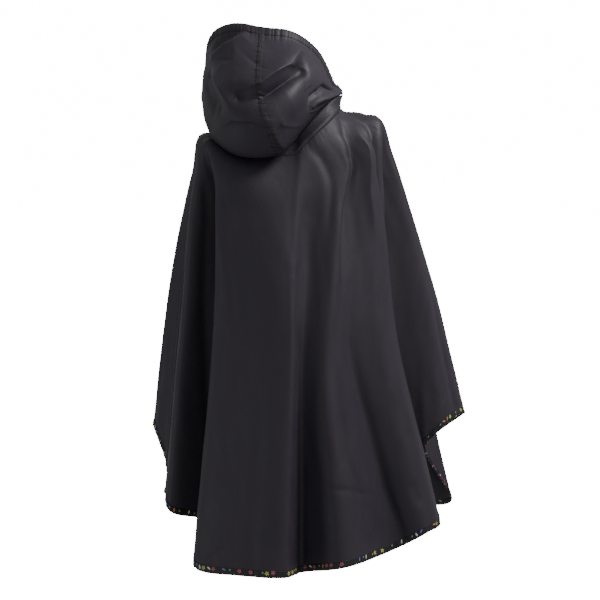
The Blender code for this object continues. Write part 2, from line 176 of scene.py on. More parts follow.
def neckStations(azimuth):
    # Height and lean of the neckband, smooth through the stations
    places = np.array([(np.radians(station.azimuth + 360 * lap), station.lean, station.z)
                       for lap in (-1, 0, 1, 2) for station in neckline])
    u = np.interp(np.radians(azimuth), places[:, 0], np.arange(len(places)))
    smooth = curveThrough(places, u, False)
    return smooth[:, 2], smooth[:, 1]


def neckRing(azimuth, rise):
    # The neckline, an ellipse at the stations' heights, or a ring further up the leaning neckband
    height, lean = neckStations(azimuth)
    up = rise * np.sqrt(cut["neckbandWidth"]**2 - lean**2)
    x, y = onAzimuth(azimuth, form["neckHalfWidth"] - rise * lean, form["neckHalfDepth"] - rise * lean)
    return np.stack([x, y, height + up], axis=-1)


def shoulderRing(azimuth):
    # A squarish ring where the cloth turns down, lower at the back and front than at the sides
    side, back = np.sin(np.radians(azimuth)), np.cos(np.radians(azimuth))
    square = form["shoulderSquareness"]
    x = -form["shoulderHalfWidth"] * np.sign(side) * np.abs(side) ** square
    reach = np.where(back > 0, form["shoulderBack"], form["shoulderFront"])
    y = reach * np.sign(back) * np.abs(back) ** square
    drop = np.where(back > 0, form["backDrop"], form["frontDrop"]) * np.abs(back) ** form["shoulderSlope"]
    return np.stack([x, y, form["shoulderZ"] - drop + form["shoulderTilt"] * side], axis=-1)


def reachRing(azimuth, reach, z):
    # Points at their own distance from the upright axis and their own height
    x, y = onAzimuth(azimuth, reach, reach)
    return np.stack([x, y, z], axis=-1)


def bodyRings():
    # Band top, neckline, shoulder, yoke, waist and hem, a point for each fold. The yoke lies on
    # the line from shoulder to waist, moved out or in; the waist follows a part of the hem's rise.
    column = {name: np.array([getattr(fold, name) for fold in folds], dtype=float)
              for name in Fold._fields[1:]}
    shoulder = shoulderRing(column["shoulderAz"])
    waistZ = form["waistZ"] + form["waistFollow"] * (column["hemZ"] - form["meanHemZ"])
    waist = reachRing(column["waistAz"], column["waistReach"], waistZ)
    yoke = shoulder + form["yokeShare"] * (waist - shoulder)
    away = yoke[:, :2] / np.linalg.norm(yoke[:, :2], axis=1, keepdims=True)
    yoke[:, :2] += column["yokeOut"][:, None] * away
    hem = reachRing(column["hemAz"], column["hemReach"], column["hemZ"])
    return [neckRing(column["shoulderAz"], 1), neckRing(column["shoulderAz"], 0),
            shoulder, yoke, waist, hem]


# The two surfaces. On the body u counts folds and drop is metres down from the neckline; on the
# hood u counts ribs and drop is metres from the rim.

rings = bodyRings()
hoodRings = [np.array([getattr(rib, place) for rib in hoodRibs]) for place in ("rim", "full", "low")]
hoodInside = hoodRings[1].mean(axis=0)


def bodyColumns(u):
    # Each column's points on the rings, and their drops, 0 at the neckline
    points = np.stack([curveThrough(ring, u, True) for ring in rings])
    steps = np.linalg.norm(np.diff(points, axis=0), axis=2)
    drops = np.concatenate([np.zeros((1, len(u))), np.cumsum(steps, axis=0)])
    return points, drops - drops[1]


def bodyAt(u, drop):
    # The smooth body: a cubic curve down each column, read at the drop
    points, drops = bodyColumns(u.ravel())
    return hermite(points, drops, drop.ravel()).reshape(u.shape + (3,))


def foldAt(azimuth):
    # u at an azimuth of the shoulder ring, even between one fold and the next
    turns = [fold.shoulderAz for fold in folds]
    turns.append(turns[0] + 360)
    return np.interp((azimuth - turns[0]) % 360 + turns[0], turns, np.arange(roundBody + 1))


def hoodColumns(u):
    # Each rib's points and their drops; the last point is just above the neckband
    points = [curveThrough(ring, u, False) for ring in hoodRings]
    azimuth = np.interp(u, np.arange(len(hoodRibs)), [rib.neckAz for rib in hoodRibs])
    foot = np.full(u.shape, -cut["neckbandWidth"] - cut["seamGap"])
    points = np.stack(points + [bodyAt(foldAt(azimuth), foot)])
    steps = np.linalg.norm(np.diff(points, axis=0), axis=2)
    return points, np.concatenate([np.zeros((1, len(u))), np.cumsum(steps, axis=0)])


def hoodSmooth(u, drop):
    # The hood without creases: a cubic curve down each rib, read at the drop
    points, drops = hoodColumns(u.ravel())
    return hermite(points, drops, drop.ravel()).reshape(u.shape + (3,))


def hoodAt(u, drop):
    # The ribs' surface with its largest creases pressed towards the inside, each a bell across
    # the line between two places
    smooth = hoodSmooth(u, drop)
    inward = hoodInside - smooth
    inward /= np.linalg.norm(inward, axis=-1, keepdims=True)
    depth = np.zeros(u.shape)
    for crease in hoodCreases:
        endsU = np.array([crease.fromRib, crease.toRib])
        endsDrop = np.array([crease.fromShare, crease.toShare]) * hoodColumns(endsU)[1][-1]
        start, end = hoodSmooth(endsU, endsDrop)
        along = end - start
        share = np.clip((smooth - start) @ along / (along @ along), 0, 1)
        off = np.linalg.norm(smooth - start - share[..., None] * along, axis=-1)
        depth += crease.depth * np.exp(-(off / crease.width) ** 2)
    return smooth + inward * depth[..., None]


# Relief: what the folds above leave out. A stroke is a soft ridge or trough along a path of
# (u, share of the column) places. Its rise, in mm, is given at each place, negative for a trough;
# its width, in mm, is from the path to where it has sunk to a third, or two widths, that above a
# path that runs to the right and that below it; round is 2 for a soft roll and 1 for a crease.
# A stroke with a sag also hangs down over what is below it, by that share of its rise.
Stroke = namedtuple("Stroke", "path rise width round sag", defaults=[0])

bodyStrokes = [Stroke(*row) for row in [
    # right shoulder: its edge, and the folds that start from it
    ([(11.2, .09), (12.3, .085), (13.4, .085), (14.4, .08)], (0, -8, -8, 0), (16, 26), 1.8),
    ([(11.5, .012), (13.0, .012), (14.5, .012)], (0, 5, 0), 16, 2),
    ([(5.5, .015), (5.4, .12), (5.3, .25)], (1, 3, 0), 9, 2),
    ([(6.3, .01), (6.6, .05), (6.7, .16), (6.6, .26)], (-2, -4, -3, 0), 12, 2),
    ([(9.3, .015), (8.35, .045), (7.8, .09), (7.55, .15), (7.45, .24), (7.5, .40)],
     (-3, -11, -16, -17, -13, 0), (24, 9), 1.7),
    ([(9.5, .04), (8.8, .08), (8.6, .13), (8.65, .20), (8.9, .32)], (0, 6, 8, 6, 0), (6, 15), 1.3),
    ([(10.2, .055), (9.25, .10), (9.3, .17), (9.8, .31), (11.0, .56)],
     (-4, -14, -15, -11, 0), (19, 6), 1.5),
    ([(10.6, .07), (10.8, .14), (11.8, .30)], (1, 2.5, 0), (12, 5), 1.3),
    # middle of the back
    ([(5.7, .04), (5.4, .20), (5.15, .38), (5.0, .60)], (1, 2.5, 3, 0), 12, 1.8),
    ([(5.85, .36), (5.9, .60), (5.95, .80), (5.95, .97)], (0, -3, -5, -6), 11, 1.8),
    ([(7.9, .36), (7.8, .50), (8.1, .70), (8.3, .98)], (0, -6, -8, -4), (12, 20), 1.8),
    ([(7.5, .36), (7.2, .55), (7.4, .77), (7.75, .94)], (0, -6, -8, -3), (16, 22), 1.8),
    ([(8.15, .76), (8.2, .86), (8.4, .975)], (0, -5, -4), (5, 9), 1.4),
    ([(6.6, .81), (7.3, .83), (7.95, .865)], (0, -3.5, 0), (4, 7), 1.2),
    ([(8.9, .89), (8.95, .92)], (-3, -3), 12, 2),
    ([(3.4, .97), (3.7, .94)], (-3, 0), 9, 1.6),
    ([(4.4, .55), (4.3, .75), (4.2, .99)], (0, -2, -2.5), 16, 2),
    ([(9.3, .45), (9.45, .70), (9.5, .98)], (0, 2.5, 3), 15, 2),
    # left side of the back
    ([(1.4, .20), (1.6, .50), (1.8, .75), (2.0, .97)], (-3, -4, -4, -2), 12, 2),
    ([(3.0, .30), (2.8, .50), (2.8, .80), (2.9, .98)], (0, 3, 3, 2), 10, 1.8),
    ([(0.5, .10), (0.7, .35), (0.6, .60)], (2, 2, 0), 10, 2),
    # right lobe
    ([(12.2, .55), (12.4, .80), (12.5, .98)], (0, -4, -5), 10, 1.8),
    ([(11.7, .70), (11.6, .98)], (0, 3), 9, 1.8),
    ([(12.1, .93), (12.7, .90)], (-2, 0), 4, 1.3),
    # front, like the back
    ([(14.6, .02), (14.4, .10), (14.5, .24)], (-3, -4, 0), 9, 2),
    ([(15.6, .02), (15.8, .14), (15.7, .28)], (2, 4, 0), 10, 2),
    ([(17.3, .01), (17.5, .12), (17.6, .26)], (-2, -4, 0), 9, 2),
    ([(18.7, .02), (18.6, .16), (18.7, .30)], (1, 3, 0), 10, 2),
    ([(20.4, .01), (20.3, .13), (20.5, .27)], (-3, -4, 0), 9, 2),
    ([(22.2, .02), (22.4, .15), (22.3, .26)], (2, 4, 0), 9, 2),
    ([(24.0, .01), (24.3, .12), (24.4, .25)], (-2, -4, 0), 9, 2),
    ([(15.4, .60), (15.3, .80), (15.2, .98)], (0, -4, -5), 13, 1.8),
    ([(16.6, .50), (16.7, .75), (16.6, .98)], (0, 3, 2), 13, 2),
    ([(18.4, .62), (18.5, .80), (18.4, .98)], (0, -3, -4), 12, 1.8),
    ([(19.6, .55), (19.5, .78), (19.6, .98)], (0, 3, 3), 12, 2),
    ([(21.4, .48), (21.3, .72), (21.4, .98)], (0, -4, -4), 13, 1.8),
    ([(22.7, .66), (22.8, .84), (22.7, .98)], (0, 3, 2), 11, 2),
    ([(23.6, .50), (23.5, .70), (23.6, .97)], (0, -4, -3), 12, 1.8),
    ([(25.2, .60), (25.3, .80), (25.2, .98)], (0, -3, -3), 9, 1.8),
    ([(17.5, .84), (18.0, .81)], (-2, 0), 5, 1.3),
    ([(22.1, .90), (22.5, .86)], (-2.5, 0), 6, 1.4),
]]

hoodStrokes = [Stroke(*row) for row in [
    # the facet on the upper left that turns away, and the creases beside it
    ([(2.95, .25), (3.23, .19), (3.7, .145), (4.28, .09), (4.45, .05)],
     (0, 10, 12, 7, 0), (9, 26), 1.1),
    ([(2.9, .17), (3.3, .12), (3.8, .08), (4.25, .045)], (0, -8, -8, 0), 11, 2),
    ([(3.4, .225), (3.7, .235), (4.0, .24)], (0, -2, 0), (3, 7), 1.3),
    ([(3.95, .13), (4.05, .19), (4.0, .27)], (0, 2, 0), (12, 5), 1.3),
    # the lit edge on the left, where the hood turns away from the light
    ([(3.05, .25), (3.23, .32), (3.6, .405), (3.9, .495), (3.95, .56)],
     (0, 8, 12, 11, 0), (26, 13), 1.1),
    ([(2.6, .28), (2.85, .41), (3.2, .50), (3.25, .57)], (0, -5, -6, 0), 14, 2),
    ([(3.25, .32), (3.6, .405), (3.9, .495)], (0, 1.2, 0), 2, 1.4),
    # the trough over the seam
    ([(4.15, .17), (4.9, .255), (5.5, .325)], (0, -3.5, 0), (10, 6), 1.4),
    # the deep slanting fold: its upper edge, from which the cloth drops, and its lower one
    ([(3.95, .40), (4.5, .39), (5.08, .37), (5.6, .318), (6.0, .27), (6.25, .16), (6.3, .10)],
     (0, 7, 12, 14, 13, 9, 0), (24, 14), 1.3, 1.0),
    ([(4.0, .47), (4.5, .475), (4.95, .47), (5.4, .455), (5.93, .42), (6.4, .37), (6.55, .33)],
     (0, -9, -16, -20, -20, -13, 0), (18, 24), 1.6),
    # the cheek below it, which faces up
    ([(5.5, .64), (5.9, .62), (6.3, .60)], (7, 9, 5), (38, 22), 2),
    # where the bag turns under
    ([(3.1, .63), (3.5, .60), (3.95, .56), (4.6, .57), (5.05, .62), (5.12, .72), (5.25, .84)],
     (0, 4, 8, 9, 9, 7, 0), (26, 9), 1.3, 0.9),
    ([(5.4, .665), (6.05, .81)], (2, 1), (8, 3), 1.3),
    ([(3.1, .635), (3.75, .615)], (1.5, 1), (3, 6), 1.3),
    ([(2.75, .62), (2.95, .74)], (3, 2), (8, 3), 1.2),
    # the tuck over the right end of the neckband
    ([(6.58, .76), (6.66, .71), (6.8, .67), (7.0, .65), (7.3, .60), (7.6, .47), (8.0, .42),
      (8.35, .45)], (-1, -6, -8, -8, -8, -8, -5, -1), (4, 6), 1.4),
    ([(6.85, .78), (7.3, .75), (7.8, .68)], (3, 4, 2), 7, 2),
    ([(6.62, .80), (6.85, .88), (7.25, .91), (7.7, .90)], (1, 2.5, 3, 1), 3, 1.5),
    ([(7.75, .51), (8.0, .53), (8.3, .66)], (-2, -2.5, -1), 2.5, 1.3),
    # hidden left and right sides
    ([(1.2, .22), (1.8, .42), (2.4, .50)], (0, 6, 0), (18, 8), 1.3),
    ([(1.0, .55), (1.6, .70)], (-3, -1), 6, 1.6),
    ([(1.7, .64), (2.3, .70), (2.7, .69)], (0, 4, 0), (15, 7), 1.3),
    ([(2.2, .16), (2.6, .30)], (-3, 0), (4, 9), 1.5),
    ([(9.3, .50), (10.2, .60)], (-2, -1), 6, 1.6),
]]

# How the seams draw the cloth up: ripples across the seam, this far apart and this high
puckers = {
    "sideSeam": {"spacing": 0.014, "rise": 0.0008, "reach": 0.013},
    "hoodSeam": {"spacing": 0.0080, "rise": 0.0016, "reach": 0.013},
    "casing": {"spacing": 0.0115, "rise": 0.0008, "reach": 0.014},
    "neck": {"spacing": 0.015, "rise": 0.0003, "reach": 0.020},
    "hem": {"spacing": 0.019, "rise": 0.0010, "reach": 0.016},
}
# Metres over which relief fades in or out: at the neckband, the waver below the neck, at the
# hood's rim, at its foot, and its ripples there
fades = {"band": 0.008, "waver": 0.15, "rim": 0.02, "foot": 0.012, "ripples": 0.004}
uStep, dropStep = 0.02, 0.001     # short steps that slopes are measured over

Cloth = namedtuple("Cloth", "at columns turns strokes relief")


def lengthAt(cloth, u):
    # Metres down the cloth at u, from its top to its lower edge
    return cloth.columns(u.ravel())[1][-1].reshape(u.shape)


def acrossScale(cloth, u, drop):
    # Metres across the cloth for each unit of u
    return np.linalg.norm(cloth.at(u + uStep, drop) - cloth.at(u - uStep, drop), axis=-1) / (2 * uStep)


def outward(cloth, u, drop):
    # Unit normals: the step down the cloth crossed with the step across it
    across = cloth.at(u + uStep, drop) - cloth.at(u - uStep, drop)
    down = cloth.at(u, drop + dropStep) - cloth.at(u, drop - dropStep)
    out = np.cross(down, across)
    return out / np.linalg.norm(out, axis=-1, keepdims=True)


def strokeRelief(cloth, u, drop, scale, length):
    # The sum of the strokes, and of how far they sag: each is a bell of the distance to its path,
    # and its rise runs evenly from one place of the path to the next
    total, slump = np.zeros(u.shape), np.zeros(u.shape)
    half = cloth.turns / 2
    for stroke in cloth.strokes:
        above, below = np.broadcast_to(stroke.width, 2) / 1000
        nearest, height = np.full(u.shape, np.inf), np.zeros(u.shape)
        legs = zip(stroke.path, stroke.path[1:], stroke.rise, stroke.rise[1:])
        for (u0, share0), (u1, share1), rise0, rise1 in legs:
            x, y = ((u - u0 + half) % cloth.turns - half) * scale, drop - share0 * length
            legX, legY = (u1 - u0) * scale, (share1 - share0) * length
            t = np.clip((x * legX + y * legY) / (legX**2 + legY**2), 0, 1)
            off = np.hypot(x - t * legX, y - t * legY)
            width = np.where(legY * x > legX * y, above, below)
            here = (rise0 + (rise1 - rise0) * t) * np.exp(-(off / width) ** stroke.round)
            height = np.where(off < nearest, here, height)
            nearest = np.minimum(nearest, off)
        total += height / 1000
        slump += stroke.sag * height / 1000
    return total, slump


def ripple(along, distance, pucker):
    # A wave along the seam whose spacing and height waver, fading with distance from it
    x = along / pucker["spacing"]
    wave = np.sin(2 * np.pi * (x + 0.30 * np.sin(1.9 * x) + 0.17 * np.sin(4.3 * x + 1)))
    height = 0.65 + 0.35 * np.sin(0.83 * x + 2)
    return pucker["rise"] * height * wave * np.exp(-(distance / pucker["reach"]) ** 2)


def waver(across, along):
    # Slow unevenness of hung cloth: long waves down it, bent by each other, in metres
    slow = np.sin(34 * across + 2.5 * np.sin(4.1 * along)) * np.sin(5.3 * along + 9 * across)
    quick = np.sin(97 * across - 9 * along + 2 * np.sin(13 * along))
    quick *= np.sin(17 * along - 21 * across)
    return 0.0011 * slow + 0.0004 * quick


# Metres along the hem, the neckline and the hood's rim at steps of u
tableU = np.linspace(0, roundBody, 521)
tableHem = runLength(bodyAt(tableU, bodyColumns(tableU)[1][-1]))
tableNeck = runLength(bodyAt(tableU, 0 * tableU))
tableRib = np.linspace(0, lastRib, 221)
tableRim = runLength(hoodSmooth(tableRib, 0 * tableRib))


def bodyRelief(cloth, u, drop):
    # Strokes, the slow waver, and the ripples at the side seams, the hem and the neckband. It
    # fades out up the neckband, which is smooth.
    onBand = np.clip(1 + drop / fades["band"], 0, 1)
    drop = np.maximum(drop, 0)
    scale = acrossScale(cloth, u, drop)
    length = lengthAt(cloth, u)
    relief, slump = strokeRelief(cloth, u, drop, scale, length)
    hemAlong = np.interp(u % roundBody, tableU, tableHem)
    relief += np.clip(drop / fades["waver"], 0, 1) * waver(hemAlong, drop)
    for seam in (leftSeam, rightSeam):
        distance = ((u - seam + rightSeam) % roundBody - rightSeam) * scale
        relief += ripple(drop, distance, puckers["sideSeam"])
    relief += ripple(hemAlong, length - drop, puckers["hem"])
    neckAlong = np.interp(u % roundBody, tableU, tableNeck)
    relief += np.clip(drop / fades["band"], 0, 1) * ripple(neckAlong, drop, puckers["neck"])
    return relief * onBand, slump * onBand


def hoodRelief(cloth, u, drop):
    # Strokes, and the ripples at the hood's seam and along the casing's stitching
    scale = acrossScale(cloth, u, drop)
    length = lengthAt(cloth, u)
    relief, slump = strokeRelief(cloth, u, drop, scale, length)
    inside = np.clip(drop / fades["rim"], 0, 1) * np.clip((length - drop) / fades["foot"], 0, 1)
    relief *= inside
    relief += ripple(drop, (u - hoodCentre) * scale, puckers["hoodSeam"])
    rimAlong = np.interp(u, tableRib, tableRim)
    relief += ripple(rimAlong, np.maximum(drop - cut["casingWidth"], 0), puckers["casing"])
    return relief * np.clip((length - drop) / fades["ripples"], 0, 1), slump * inside


bodyCloth = Cloth(bodyAt, bodyColumns, roundBody, bodyStrokes, bodyRelief)
hoodCloth = Cloth(hoodAt, hoodColumns, 1000, hoodStrokes, hoodRelief)


def onCloth(cloth, u, drop, lift):
    # Points on the finished cloth: moved out by the relief and a lift, and down by what sags
    out = outward(cloth, u, drop)
    down = cloth.at(u, drop + dropStep) - cloth.at(u, drop - dropStep)
    down /= np.linalg.norm(down, axis=-1, keepdims=True)
    relief, slump = cloth.relief(cloth, u, drop)
    return cloth.at(u, drop) + out * (relief + lift)[..., None] + down * slump[..., None]


# Materials

def hexColour(code):
    # An sRGB hex value as linear red, green, blue and alpha
    srgb = np.array([int(code[i:i + 2], 16) for i in (1, 3, 5)]) / 255
    linear = np.where(srgb <= 0.04045, srgb / 12.92, ((srgb + 0.055) / 1.055) ** 2.4)
    return (*linear.tolist(), 1.0)


def addNode(tree, kind, settings=None, inputs=None):
    # A shader node with its settings; an input is a value or another node's output
    node = tree.nodes.new(kind)
    for name, value in (settings or {}).items():
        setattr(node, name, value)
    for name, value in (inputs or {}).items():
        if isinstance(value, bpy.types.NodeSocket):
            tree.links.new(value, node.inputs[name])
        else:
            node.inputs[name].default_value = value
    return node


def newMaterial(name, roughness=0.45):
    # A material with its node tree and its shader
    material = bpy.data.materials.new(name)
    material.use_nodes = True
    shader = material.node_tree.nodes["Principled BSDF"]
    shader.inputs["Roughness"].default_value = roughness
    return material, material.node_tree, shader


# Threads are 0.3 mm apart, drawn 1 mm apart to show; a wave texture has 3.14 bands a unit
threadScale, weaveDepth = 1000 / 3.14, 0.0002


def clothWeave(tree, shader, look):
    # Bump of a plain weave, and of small wrinkles that run down the cloth, on the cloth's own
    # flat measure in metres
    flat = addNode(tree, "ShaderNodeUVMap", {"uv_map": "flat"}).outputs["UV"]
    threads = [addNode(tree, "ShaderNodeTexWave", {"bands_direction": direction},
                       {"Vector": flat, "Scale": threadScale}).outputs["Fac"] for direction in "XY"]
    weave = addNode(tree, "ShaderNodeMath", {"operation": "MULTIPLY"}, {0: threads[0], 1: threads[1]})
    stretch = addNode(tree, "ShaderNodeMapping", {}, {"Vector": flat, "Scale": look["wrinkleStretch"]})
    wrinkle = addNode(tree, "ShaderNodeTexNoise", {"noise_dimensions": "2D"},
                      {"Vector": stretch.outputs["Vector"], "Scale": look["wrinkleScale"],
                       "Detail": 4.0, "Roughness": 0.55, "Distortion": 0.6})
    crumple = addNode(tree, "ShaderNodeBump", {}, {
        "Height": wrinkle.outputs["Fac"],
        "Strength": look["wrinkleStrength"], "Distance": look["wrinkleDepth"]})
    grain = addNode(tree, "ShaderNodeBump", {}, {
        "Height": weave.outputs["Value"], "Normal": crumple.outputs["Normal"],
        "Strength": look["weaveStrength"], "Distance": weaveDepth})
    tree.links.new(grain.outputs["Normal"], shader.inputs["Normal"])
    return flat, wrinkle.outputs["Fac"]


# Polyester taffeta with a thin polyurethane coat: nearly black with a cool tinge, a soft satin
# gleam that breaks up over small wrinkles
shellLook = {
    "colour": "#2d2932", "fadedColour": "#353039", "roughness": (0.50, 0.62), "gloss": 0.34,
    "weaveStrength": 0.25, "wrinkleStretch": (1.7, 0.8, 1.0),
    "wrinkleScale": 13.0, "wrinkleStrength": 0.25, "wrinkleDepth": 0.003,
}
# The same cloth folded double and pressed flat by its stitching: a little darker
stripLook = {
    "colour": "#29252d", "fadedColour": "#312c34", "roughness": (0.50, 0.62), "gloss": 0.34,
    "weaveStrength": 0.25, "wrinkleStretch": (1.0, 1.0, 1.0),
    "wrinkleScale": 70.0, "wrinkleStrength": 0.5, "wrinkleDepth": 0.0012,
}


def coatedTaffeta(name, look):
    # Colour and roughness both follow the wrinkles. A Mix node's colours are its inputs 6 and 7
    # and its output 2.
    low, high = look["roughness"]
    material, tree, shader = newMaterial(name)
    _, wrinkle = clothWeave(tree, shader, look)
    mixed = addNode(tree, "ShaderNodeMix", {"data_type": "RGBA"}, {
        0: wrinkle, 6: hexColour(look["colour"]), 7: hexColour(look["fadedColour"])})
    tree.links.new(mixed.outputs[2], shader.inputs["Base Color"])
    gloss = addNode(tree, "ShaderNodeMapRange", {}, {
        "Value": wrinkle, "From Min": 0.3, "From Max": 0.7, "To Min": low, "To Max": high})
    tree.links.new(gloss.outputs["Result"], shader.inputs["Roughness"])
    shader.inputs["Specular IOR Level"].default_value = look["gloss"]
    return material


# Printed cotton binding: black, with small scattered flowers, leaves and dots in soft inks. The
# cell is in metres, and the motifs' sizes and how far they stray are shares of it.
printLook = {
    "ground": "#17151b", "roughness": 0.6, "cell": 0.0125, "startRow": 0.1, "empty": 0.26, "stray": 0.3,
    "petals": 5.0, "petalReach": 0.29, "petalSwell": 0.11, "eyeReach": 0.10, "dotReach": 0.17,
    "leafSquare": 0.15, "leafSlimness": 7.0, "flowersUpTo": 0.42, "leavesUpTo": 0.78,
    "inks": ["#c2c562", "#b65a74", "#6a6fb6", "#d8d4ca", "#bd8753", "#66997a"],
    "weaveStrength": 0.4, "wrinkleStretch": (1.0, 1.0, 1.0),
    "wrinkleScale": 90.0, "wrinkleStrength": 0.4, "wrinkleDepth": 0.0008,
}


def printedCotton(name, look):
    # Each cell of a grid on the flat measure holds one motif, turned and shifted at random: a
    # flower, whose edge is a circle that swells once for each petal; a leaf, which is a narrow
    # ellipse; or a dot. A step gives its results' names, the node, its operation and its terms,
    # which are numbers or earlier results.
    material, tree, shader = newMaterial(name, look["roughness"])
    flat, _ = clothWeave(tree, shader, look)
    value, half = {"flat": flat}, (0.5,) * 3
    settings = {"TexWhiteNoise": {"noise_dimensions": "2D"}, "SeparateXYZ": {}}
    for results, kind, operation, *terms in [
            ("scaled", "VectorMath", "DIVIDE", "flat", (look["cell"],) * 3),
            ("place", "VectorMath", "ADD", "scaled", (0, look["startRow"], 0)),
            ("cell", "VectorMath", "FLOOR", "place"), ("inCell", "VectorMath", "FRACTION", "place"),
            ("chance drawn", "TexWhiteNoise", None, "cell"),
            ("middle", "VectorMath", "SUBTRACT", "inCell", half),
            ("aside", "VectorMath", "SUBTRACT", "drawn", half),
            ("shift", "VectorMath", "MULTIPLY", "aside", (look["stray"],) * 3),
            ("spot", "VectorMath", "SUBTRACT", "middle", "shift"),
            ("x y", "SeparateXYZ", None, "spot"), ("a b c", "SeparateXYZ", None, "drawn"),
            ("yy", "Math", "MULTIPLY", "y", "y"), ("square", "Math", "MULTIPLY_ADD", "x", "x", "yy"),
            ("radius", "Math", "SQRT", "square"), ("bearing", "Math", "ARCTAN2", "y", "x"),
            ("turn", "Math", "MULTIPLY_ADD", "c", 6.283, "bearing"),
            ("rounds", "Math", "MULTIPLY", "turn", look["petals"]), ("wave", "Math", "COSINE", "rounds"),
            ("edge", "Math", "MULTIPLY_ADD", "wave", look["petalSwell"], look["petalReach"]),
            ("disc", "Math", "LESS_THAN", "radius", "edge"),
            ("eye", "Math", "LESS_THAN", "radius", look["eyeReach"]),
            ("flower", "Math", "SUBTRACT", "disc", "eye"),
            ("cosine", "Math", "COSINE", "turn"), ("long", "Math", "MULTIPLY", "radius", "cosine"),
            ("sine", "Math", "SINE", "turn"), ("wide", "Math", "MULTIPLY", "radius", "sine"),
            ("longSquare", "Math", "MULTIPLY", "long", "long"),
            ("wideSquare", "Math", "MULTIPLY", "wide", "wide"),
            ("ellipse", "Math", "MULTIPLY_ADD", "wideSquare", look["leafSlimness"], "longSquare"),
            ("leaf", "Math", "LESS_THAN", "ellipse", look["leafSquare"]),
            ("dot", "Math", "LESS_THAN", "radius", look["dotReach"]),
            ("isFlower", "Math", "LESS_THAN", "a", look["flowersUpTo"]),
            ("notDot", "Math", "LESS_THAN", "a", look["leavesUpTo"]),
            ("isLeaf", "Math", "SUBTRACT", "notDot", "isFlower"),
            ("isDot", "Math", "SUBTRACT", 1.0, "notDot"),
            ("flowers", "Math", "MULTIPLY", "isFlower", "flower"),
            ("andLeaves", "Math", "MULTIPLY_ADD", "isLeaf", "leaf", "flowers"),
            ("andDots", "Math", "MULTIPLY_ADD", "isDot", "dot", "andLeaves"),
            ("kept", "Math", "GREATER_THAN", "b", look["empty"]),
            ("shown", "Math", "MULTIPLY", "andDots", "kept")]:
        node = addNode(tree, "ShaderNode" + kind, settings.get(kind, {"operation": operation}),
                       {i: value.get(term, term) for i, term in enumerate(terms)})
        value.update(zip(results.split(), node.outputs))
    ramp = addNode(tree, "ShaderNodeValToRGB", {}, {"Fac": value["chance"]})
    ramp.color_ramp.interpolation = "CONSTANT"
    inks = look["inks"]
    while len(ramp.color_ramp.elements) < len(inks):
        ramp.color_ramp.elements.new(0.5)
    for i, ink in enumerate(inks):
        ramp.color_ramp.elements[i].position = i / len(inks)
        ramp.color_ramp.elements[i].color = hexColour(ink)
    inked = addNode(tree, "ShaderNodeMix", {"data_type": "RGBA"}, {
        0: value["shown"], 6: hexColour(look["ground"]), 7: ramp.outputs["Color"]})
    tree.links.new(inked.outputs[2], shader.inputs["Base Color"])
    return material


# Spun polyester sewing thread: black, dull, with a twist 0.6 mm long. Sizes are in metres.
threadLook = {
    "colour": "#1a191c", "roughness": 0.62, "twist": 0.0006,
    "radius": 0.0003, "length": 0.0026, "pitch": 0.0034,
}


def sewingThread(name, look):
    # The twist is a slanting wave in the bump
    material, tree, shader = newMaterial(name, look["roughness"])
    shader.inputs["Base Color"].default_value = hexColour(look["colour"])
    coordinates = addNode(tree, "ShaderNodeTexCoord").outputs["Object"]
    twist = addNode(tree, "ShaderNodeTexWave", {"bands_direction": "DIAGONAL"},
                    {"Vector": coordinates, "Scale": 1 / look["twist"] / 3.14})
    bump = addNode(tree, "ShaderNodeBump", {}, {
        "Height": twist.outputs["Fac"], "Strength": 0.5, "Distance": 0.0001})
    tree.links.new(bump.outputs["Normal"], shader.inputs["Normal"])
    return material


shellCloth = coatedTaffeta("black_coated_polyester_taffeta", shellLook)
stripCloth = coatedTaffeta("black_taffeta_folded_and_stitched", stripLook)
printCloth = printedCotton("printed_cotton_binding", printLook)
threadFinish = sewingThread("black_polyester_sewing_thread", threadLook)
print("materials made")


# Meshes

def addObject(name, data):
    # A mesh, light or camera put in the scene
    thing = bpy.data.objects.new(name, data)
    bpy.context.scene.collection.objects.link(thing)
    return thing


def gridMesh(name, grid, flat, material, closed=False):
    # Quads over a grid of points (rows down, columns across), with the flat measure as its UV map.
    # A closed grid's last column of the flat measure is one more than its columns of points.
    rows, columns = grid.shape[:2]
    across = np.arange(columns if closed else columns - 1)
    corner = np.arange(rows - 1)[:, None] * columns
    right = (across + 1) % columns
    below = corner + columns
    quads = np.stack([corner + across, below + across, below + right, corner + right], axis=-1)
    mesh = bpy.data.meshes.new(name)
    mesh.from_pydata(grid.reshape(-1, 3).tolist(), [], quads.reshape(-1, 4).tolist())
    uv = np.stack([flat[:-1, :-1], flat[1:, :-1], flat[1:, 1:], flat[:-1, 1:]], axis=2)
    mesh.uv_layers.new(name="flat").data.foreach_set("uv", uv.ravel())
    mesh.shade_smooth()
    mesh.materials.append(material)
    return addObject(name, mesh)


def flatMeasure(grid, drop, closed=False):
    # How far each point lies across the cloth from its middle column, along its row, and its drop
    steps = np.linalg.norm(np.diff(grid, axis=1), axis=-1)
    if closed:
        steps = np.hstack([steps, np.linalg.norm(grid[:, :1] - grid[:, -1:], axis=-1)])
        drop = np.hstack([drop, drop[:, :1]])
    across = np.hstack([np.zeros((len(grid), 1)), np.cumsum(steps, axis=1)])
    across -= across[:, across.shape[1] // 2][:, None]
    return np.stack([across, drop], axis=-1)


def thicken(piece, wall, side=-1):
    # The wall goes inwards from the surface, or outwards with side 1
    solidify = piece.modifiers.new("wall", "SOLIDIFY")
    solidify.thickness = wall
    solidify.offset = side
    return piece


def dress(piece, node):
    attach(piece, "root")
    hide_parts(node)


